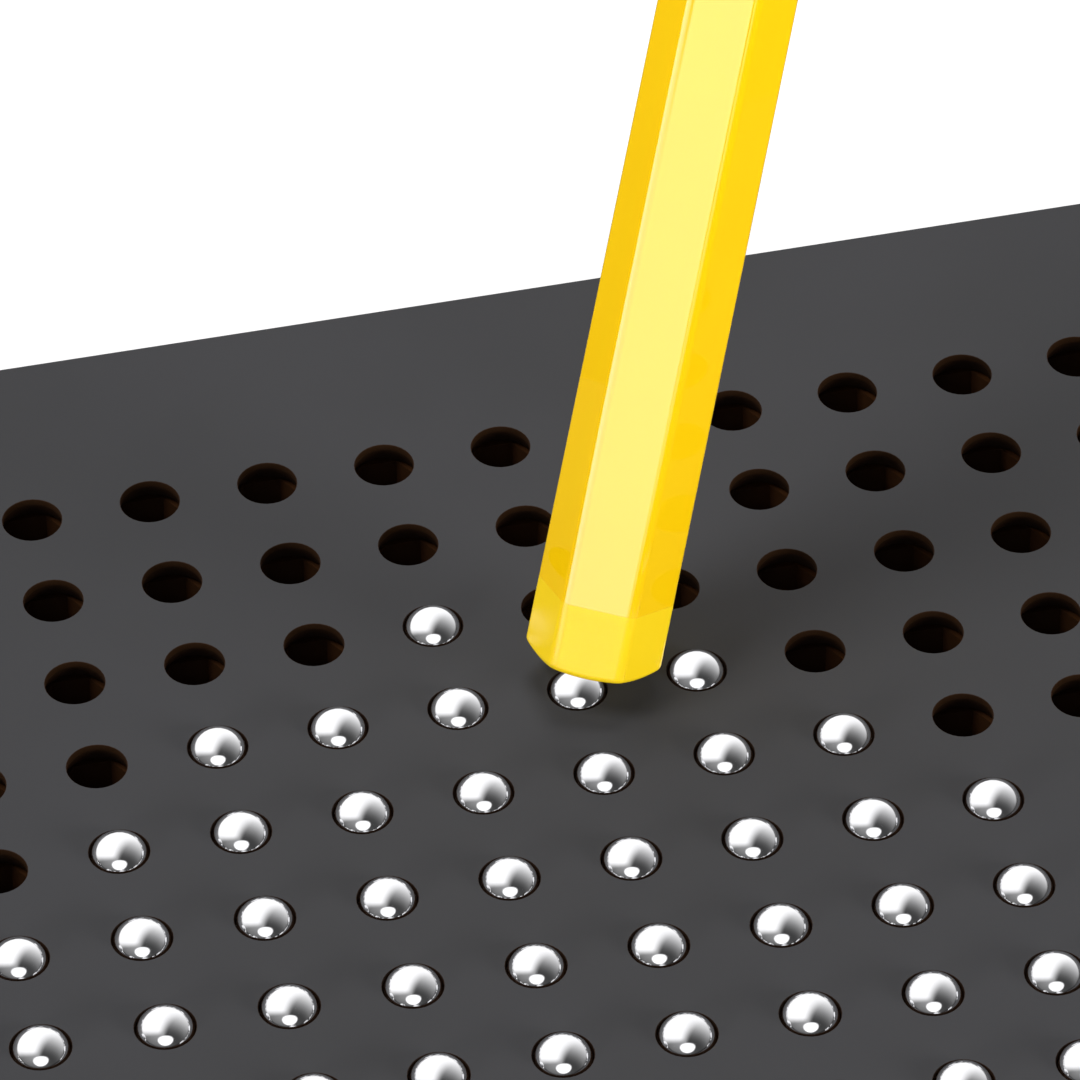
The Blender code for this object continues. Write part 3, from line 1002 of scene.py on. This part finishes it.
@dataclass
class Stylus:
    """The six-sided pencil-shaped stylus: barrel, rounded tip and end cap."""

    origin: Vector = field(default_factory=lambda: Vector((-3.56, 15.89, 15.510)) * MM)
    lean_azimuth_deg: float = 48.5
    lean_deg: float = 23.5
    roll_deg: float = 19.4
    across_corners: float = 11.65 * MM
    taper: float = 0.65 * MM
    corner_cut: float = 0.62 * MM
    corner_steps: int = 6
    length: float = 112.0 * MM
    tip_length: float = 6.3 * MM
    seam: float = 0.01 * MM
    cap_length: float = 4.0 * MM
    bore_radius: float = 3.645 * MM
    nose_flat_radius: float = 4.3 * MM
    nose_rise: float = 0.45 * MM
    cap_flat_radius: float = 3.0 * MM
    cap_rise: float = 1.7 * MM
    dome_shares: Sequence[float] = (0.25, 1.15)
    dome_power: float = 1.2
    round_sides: int = 64
    end_round: float = 0.40 * MM
    end_steps: int = 4
    end_angle_deg: float = 28.0
    smooth_deg: float = 35.0

    def frame(self) -> Matrix:
        """Work out how the stylus leans.

        Returns:
            The matrix from the stylus' own axes to the world.
        """
        return (
            Matrix.Translation(self.origin)
            @ Matrix.Rotation(math.radians(self.lean_azimuth_deg), 4, "Z")
            @ Matrix.Rotation(math.radians(self.lean_deg), 4, "Y")
            @ Matrix.Rotation(math.radians(self.roll_deg), 4, "Z")
        )

    def share(self, height: float) -> float:
        """Return the bar's width at a height, as a share of its width at the tip's end."""
        return 1.0 - self.taper / self.across_corners * height / self.length

    def bar(self, name: str, bottom: float, top: float) -> Piece:
        """Model a length of the tapered six-sided bar with its corners rounded.

        Args:
            name: the object's name.
            bottom: where it starts, from the tip's end.
            top: where it ends.

        Returns:
            The bar, on the Z axis.
        """
        bpy.ops.mesh.primitive_circle_add(
            vertices=6, radius=self.across_corners / 2 * self.share(bottom), fill_type="NGON",
            location=(0.0, 0.0, bottom))
        obj = Bench.settle(bpy.context.active_object, name)
        with Bench.editing(obj):
            bpy.ops.mesh.bevel(
                offset=self.corner_cut, segments=self.corner_steps, affect="VERTICES")
            bpy.ops.mesh.select_all(action="SELECT")
            Bench.draw_up([(self.share(bottom), bottom), (self.share(top), top)])
        return obj

    def domed(self, bar: Piece, end: float, inward: float, flat_radius: float, rise: float) -> None:
        """Turn down one end of a bar, so that its six edges end in a round, and ease it.

        Args:
            bar: the bar.
            end: height of its end face.
            inward: 1 where the bar lies above the end, or -1.
            flat_radius: radius of the end face that is left.
            rise: how far back the round reaches at the corners.
        """
        reach = self.across_corners / 2
        rings = [(flat_radius, end)]
        for share in self.dome_shares:
            radius = flat_radius + share * (reach - flat_radius)
            rings.append((radius, end + inward * rise * share ** self.dome_power))
        rings.append((rings[-1][0], end + inward * 2.0 * self.cap_length))
        dome = Bench.turned("dome", rings if inward > 0 else rings[::-1], self.round_sides)
        Bench.shape(bar, dome, Shaping.KEEP_COMMON)

        def at_end(edge: bmesh.types.BMEdge) -> bool:
            """Look whether an edge is to be eased.

            Args:
                edge: an edge of the bar.

            Returns:
                True for a sharp edge near the stylus' nose or its top.
            """
            height = sum(vert.co.z for vert in edge.verts) / 2
            at_joint = self.tip_length / 2 < height < self.length - self.cap_length / 2
            return not at_joint and edge.calc_face_angle(0.0) > math.radians(self.end_angle_deg)

        with Bench.editing(bar):
            Bench.select(bar, Part.EDGE, at_end)
            bpy.ops.mesh.bevel(offset=self.end_round, segments=self.end_steps, affect="EDGES")

    def dress(self, obj: Piece, finish: Finish, slot: Slot, node: str) -> None:
        """Shade a piece, set it leaning, and dress it. Balls and plate don't mirror it.

        Args:
            obj: the piece, on the Z axis.
            finish: its finish.
            slot: the record's slot.
            node: the solid that it replaces.
        """
        Bench.smooth(obj, self.smooth_deg)
        Bench.paint(obj, finish)
        obj.matrix_world = self.frame()
        Bench.settle(obj, obj.name)
        obj.visible_glossy = False
        enrol(obj, Body.STYLUS, slot, node)

    def build(self) -> None:
        """Model the hollow barrel, the tip and the end cap, and dress them."""
        barrel_bottom = self.tip_length + self.seam
        barrel_top = self.length - self.cap_length - self.seam
        barrel = self.bar("six_sided_barrel", barrel_bottom, barrel_top)
        bore_levels = (barrel_bottom - self.cap_length, barrel_top + self.cap_length)
        bore = Bench.rod("bore", self.bore_radius, bore_levels, self.round_sides)
        Bench.shape(barrel, bore, Shaping.CUT)

        tip = self.bar("rounded_tip", 0.0, self.tip_length)
        self.domed(tip, 0.0, 1.0, self.nose_flat_radius, self.nose_rise)
        cap = self.bar("barrel_end_cap", self.length - self.cap_length, self.length)
        self.domed(cap, self.length, -1.0, self.cap_flat_radius, self.cap_rise)

        self.dress(tip, TIP_YELLOW, Slot.TIP, "stylus_tip")
        self.dress(cap, BARREL_YELLOW, Slot.BARREL, "stylus_end_cap")
        self.dress(barrel, BARREL_YELLOW, Slot.BARREL, "stylus_barrel")


@dataclass
class InnerSolids:
    """Solids of the frame that keep their shape and get a finish."""

    finishes: dict[str, Finish] = field(default_factory=lambda: {
        # The cell block's finish is lightened as painted fill light for its shaded wells.
        "cell_block": INNER_BROWN_WITH_PAINTED_FILL,
        "magnet_sheet": SHEET_BROWN,
        "stylus_magnet": NICKEL_PLATE,
    })
    unmirrored: tuple[str, ...] = ("stylus_magnet",)

    def dress(self, nodes: dict[str, Piece]) -> None:
        """Give each kept solid its finish.

        Args:
            nodes: the frame's solids by name.
        """
        for name, finish in self.finishes.items():
            for slot in nodes[name].material_slots:
                slot.material = finish.material()
            nodes[name].visible_glossy = name not in self.unmirrored
            LOG.info("%s keeps its solid, in %s", name, finish.name)


@dataclass(frozen=True)
class Lamp:
    """A round soft lamp aimed at the board, which isn't seen itself, nor in mirrors."""

    name: str
    toward: Sequence[float]
    distance: float
    size: float
    power: float

    def build(self) -> None:
        """Hang the lamp."""
        bpy.ops.object.light_add(type="AREA")
        lamp = bpy.context.active_object
        lamp.name = self.name
        lamp.data.shape = "DISK"
        lamp.data.size = self.size
        lamp.data.energy = self.power
        toward = Vector(self.toward).normalized()
        lamp.location = toward * self.distance
        lamp.rotation_euler = toward.to_track_quat("Z", "Y").to_euler()
        lamp.visible_camera = False
        lamp.visible_glossy = False


@dataclass(frozen=True)
class Mirrored:
    """What polished surfaces mirror: a white surround with cards and lights, and the floor.

    Its parts are placed by how far a direction reaches to the picture's right, to its front and
    up, from -1 to 1. Spans are where a part's soft border starts and ends.
    """

    rightward: Sequence[float] = (0.979, -0.203, 0.0)
    frontward: Sequence[float] = (-0.203, -0.979, 0.0)
    upward: Sequence[float] = (0.0, 0.0, 1.0)
    surround_light: float = 1.5
    card_lean: float = 0.4
    card_span: Span = (-0.34, 0.40)
    card_curve: Sequence[float] = (0.32, -0.74, 0.55)
    card_least: float = 0.01
    low_lean: float = 0.8
    low_span: Span = (-0.40, 0.14)
    low_line: Sequence[float] = (0.16, 0.4)
    spot_light: float = 1.7
    spot_middle: Place = (0.02, 0.44)
    spot_half: Place = (0.46, 0.29)
    spot_span: Span = (0.75, 1.25)
    ahead_span: Span = (0.0, 0.2)
    horizon_span: Span = (-0.02, 0.12)
    horizon_light: float = 0.2
    glare_light: float = 6.6
    glare_side_span: Span = (-0.15, -0.02)
    glare_lean: float = 0.1
    glare_top_span: Span = (-0.02, 0.01)
    floor_light: float = 0.04
    floor_far_span: Span = (0.2, 0.3)
    floor_ahead_span: Span = (-0.1, 0.1)
    floor_glare_span: Span = (-0.20, -0.10)
    side_glare_light: float = 2.4
    side_glare_span: Span = (0.3, 0.5)

    def floor(self, graph: Graph, place: Sock, away: Sock) -> Sock:
        """Return how bright the floor is where a polished surface mirrors it.

        It is dark near the board. Farther off, a long light lies on it: bright on the left in
        front, and dimmer on the right of that.

        Args:
            graph: the floor's graph.
            place: object coordinates.
            away: distance from the board's middle.

        Returns:
            The brightness.
        """
        side = graph.along(place, self.rightward) / away
        ahead = graph.along(place, self.frontward) / away
        far = away.rise(*self.floor_far_span) * ahead.rise(*self.floor_ahead_span)
        middle = side.rise(*self.floor_glare_span)
        bright = far * (1.0 - middle) * self.glare_light
        dim = far * middle * (1.0 - side.rise(*self.side_glare_span)) * self.side_glare_light
        return bright + dim + self.floor_light

    def surround(self, graph: Graph) -> Sock:
        """Return what is mirrored of the world, by direction.

        A white surround has a grey card on the right, a dim stretch low in front and an oval soft
        light in it. Coats without any blur also mirror the long light, at the horizon on the left.

        Args:
            graph: the world's graph.

        Returns:
            The brightness.
        """
        toward = graph.node("ShaderNodeTexCoord", output="Generated")
        axes = (self.rightward, self.frontward, self.upward)
        right, front, up = (graph.along(toward, axis) for axis in axes)

        card = (self.card_lean * front + right).rise(*self.card_span)
        base, slope, bend = self.card_curve
        card_tone = (base + slope * front + bend * front * front).most(self.card_least)
        tone = card * (card_tone - self.surround_light) + self.surround_light

        low = (front - self.low_lean * up).rise(*self.low_span)
        base, slope = self.low_line
        tone = tone.blend(low, tone.least(slope * up + base))

        across, upright = (
            (reach - middle) * (1.0 / half)
            for reach, middle, half in zip((right, up), self.spot_middle, self.spot_half)
        )
        in_front = front.rise(*self.ahead_span)
        oval = (1.0 - (across * across + upright * upright).rise(*self.spot_span)) * in_front
        tone = tone.blend(oval, self.spot_light)
        above = up.rise(*self.horizon_span)
        tone = tone * ((1.0 - self.horizon_light) * above + self.horizon_light)

        low_glare = 1.0 - (up - self.glare_lean * front).rise(*self.glare_top_span)
        band = (1.0 - right.rise(*self.glare_side_span)) * in_front * low_glare
        return tone.blend(graph.ray("Is Singular Ray") * band, self.glare_light)


@dataclass
class Studio:
    """Pale floor, soft light and the camera at the photograph's angle."""

    mirrored: Mirrored = Mirrored()
    camera_place: Vector = field(default_factory=lambda: Vector((-121.59, -534.77, 560.378)) * MM)
    camera_forward: Sequence[float] = (0.14724, 0.71224, -0.68632)
    camera_right: Sequence[float] = (0.97695, -0.21308, -0.01155)
    lens: float = 319.334
    sensor: float = 36.0
    floor_half: float = 6.0
    floor_tone: float = 0.8
    floor_glow: float = 0.35
    glow_span: Span = (0.3, 0.9)
    fill: float = 0.05
    lamps: Sequence[Lamp] = (
        Lamp("key_lamp", (-0.465, 0.038, 0.884), 1.2, 0.45, 6.3),
        Lamp("back_lamp", (0.094, 0.376, 0.922), 1.2, 0.6, 7.2),
        Lamp("right_lamp", (0.773, -0.618, 0.141), 1.2, 0.7, 18.5),
        Lamp("left_lamp", (-0.820, -0.560, 0.100), 1.2, 0.5, 10.4),
    )

    def build(self) -> None:
        """Make the floor, the world, the lamps and the camera."""
        self.make_floor()
        self.make_world()
        for lamp in self.lamps:
            lamp.build()
        self.make_camera()
        bpy.context.scene.view_settings.view_transform = "Standard"

    def make_floor(self) -> None:
        """Lay a plain pale floor that keeps the object's shadow and stays white far off."""
        bpy.ops.mesh.primitive_plane_add(size=2.0 * self.floor_half)
        floor = Bench.settle(bpy.context.active_object, "floor")
        made = bpy.data.materials.new("pale floor")
        made.use_nodes = True
        graph = Graph(made.node_tree)
        tone = (self.floor_tone,) * 3 + (1.0,)
        matt = graph.node("ShaderNodeBsdfDiffuse", None, {"Color": tone})
        place = graph.node("ShaderNodeTexCoord", output="Object")
        away = graph.node("ShaderNodeVectorMath", {"operation": "LENGTH"}, {0: place}, "Value")
        glow = away.rise(*self.glow_span) * (1.0 - self.floor_glow) + self.floor_glow
        lit = graph.node(
            "ShaderNodeEmission", None, {"Strength": graph.ray("Is Camera Ray") * glow})
        both = graph.node("ShaderNodeAddShader", None, {0: matt, 1: lit})
        mirrored = graph.node(
            "ShaderNodeEmission", None, {"Strength": self.mirrored.floor(graph, place, away)})
        either = graph.node(
            "ShaderNodeMixShader", None, {0: graph.ray("Is Glossy Ray"), 1: both, 2: mirrored})
        graph.node("ShaderNodeOutputMaterial", None, {"Surface": either})
        floor.data.materials.append(made)

    def make_world(self) -> None:
        """Light the object with a plain fill, and show white or the cards by kind of ray."""
        world = bpy.data.worlds.new("soft studio")
        world.use_nodes = True
        world.cycles.sampling_method = "NONE"
        bpy.context.scene.world = world
        graph = Graph(world.node_tree)
        glossy = graph.ray("Is Glossy Ray")
        white = graph.ray("Is Camera Ray").most(graph.ray("Is Transmission Ray"))
        strength = glossy * self.mirrored.surround(graph) + (1.0 - glossy) * self.fill
        strength = strength.blend(white, 1.0)
        light = graph.node("ShaderNodeBackground", None, {"Strength": strength})
        graph.node("ShaderNodeOutputWorld", None, {"Surface": light})

    def make_camera(self) -> None:
        """Set the camera at the photograph's place and angle."""
        bpy.ops.object.camera_add()
        camera = bpy.context.active_object
        camera.name = "photo_camera"
        forward = Vector(self.camera_forward).normalized()
        right = Vector(self.camera_right)
        right = (right - right.project(forward)).normalized()
        up = right.cross(forward)
        turn = Matrix((right, up, -forward)).transposed()
        camera.matrix_world = Matrix.Translation(self.camera_place) @ turn.to_4x4()
        camera.data.lens = self.lens
        camera.data.sensor_width = self.sensor
        camera.data.sensor_height = self.sensor
        camera.data.sensor_fit = "AUTO"
        bpy.context.scene.camera = camera


def main() -> None:
    """Load the frame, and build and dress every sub-assembly."""
    logging.basicConfig(level=logging.INFO, format="%(name)s: %(message)s")
    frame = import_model()
    nodes = frame["nodes"]
    plan = Plan()
    FacePlate(plan).build()
    BackCover(plan).build()
    RubberFeet(plan).build()
    CoverScrews(plan).build()
    balls = SteelBalls(plan)
    balls.build_raised(nodes)
    balls.build_lowered()
    Stylus().build()
    InnerSolids().dress(nodes)
    Studio().build()


if __name__ == "__main__":
    main()
